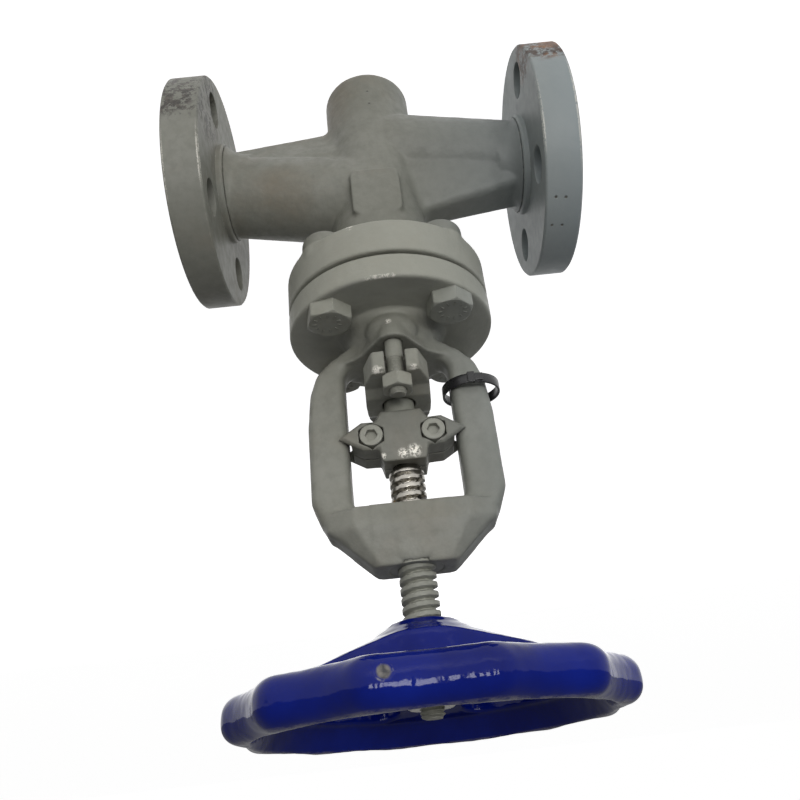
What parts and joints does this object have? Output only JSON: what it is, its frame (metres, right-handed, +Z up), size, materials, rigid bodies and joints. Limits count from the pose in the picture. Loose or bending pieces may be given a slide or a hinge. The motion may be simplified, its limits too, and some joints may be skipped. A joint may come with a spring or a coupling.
{
  "type": "flanged globe stop valve",
  "caption": "Forged straight-pattern globe valve with raised-face flanges, bolted bonnet with open yoke, rising threaded spindle and lobed handwheel.",
  "frame": {"origin": "point where the pipe axis crosses the spindle axis", "axes": "+Z up the spindle to the handwheel; +X along the pipe out of the outlet flange; +Y completes the right-handed frame"},
  "size_m": [0.216, 0.1572, 0.3494],
  "materials": {
    "grey_paint": "satin grey-green shop paint over forged and machined steel",
    "stainless": "turned stainless steel",
    "graphite": "dull graphite",
    "bronze": "turned bronze",
    "black_nylon": "smooth black nylon",
    "blue_enamel": "thick gloss blue enamel over cast iron",
    "zinc_steel": "bright zinc-plated steel"
  },
  "bodies": {
    "root": {"body": "grey_paint", "inlet_flange": "grey_paint", "outlet_flange": "grey_paint", "seat_ring": "stainless", "bonnet_gasket": "graphite", "bonnet_yoke": "grey_paint", "bonnet_bolts": "grey_paint", "backseat_bush": "stainless", "packing_rings": "graphite", "gland_bush": "stainless", "gland_flange": "grey_paint", "gland_studs": "grey_paint", "gland_nuts": "grey_paint", "yoke_bush": "bronze", "cable_tie": "black_nylon"},
    "stem": {"lower_stem": "stainless", "disc": "stainless", "disc_retainer": "stainless", "coupling_front": "grey_paint", "coupling_back": "grey_paint", "coupling_screws": "grey_paint", "coupling_nuts": "grey_paint"},
    "spindle": {"spindle": "stainless", "handwheel": "blue_enamel", "handwheel_washer": "zinc_steel", "handwheel_nut": "zinc_steel"}
  },
  "joints": [
    {"name": "stem_lift", "type": "slide", "parent": "root", "child": "stem", "axis": [0, 0, 1], "range_m": [0, 0.012]},
    {"name": "handwheel_turn", "type": "hinge", "parent": "stem", "child": "spindle", "pos_m": [0, 0, 0.25], "axis": [0, 0, 1], "range_deg": [0, 1080]}
  ],
  "couplings": [
    {"joint": "stem_lift", "follows": "handwheel_turn", "m_per_rad": 0.00063662}
  ]
}
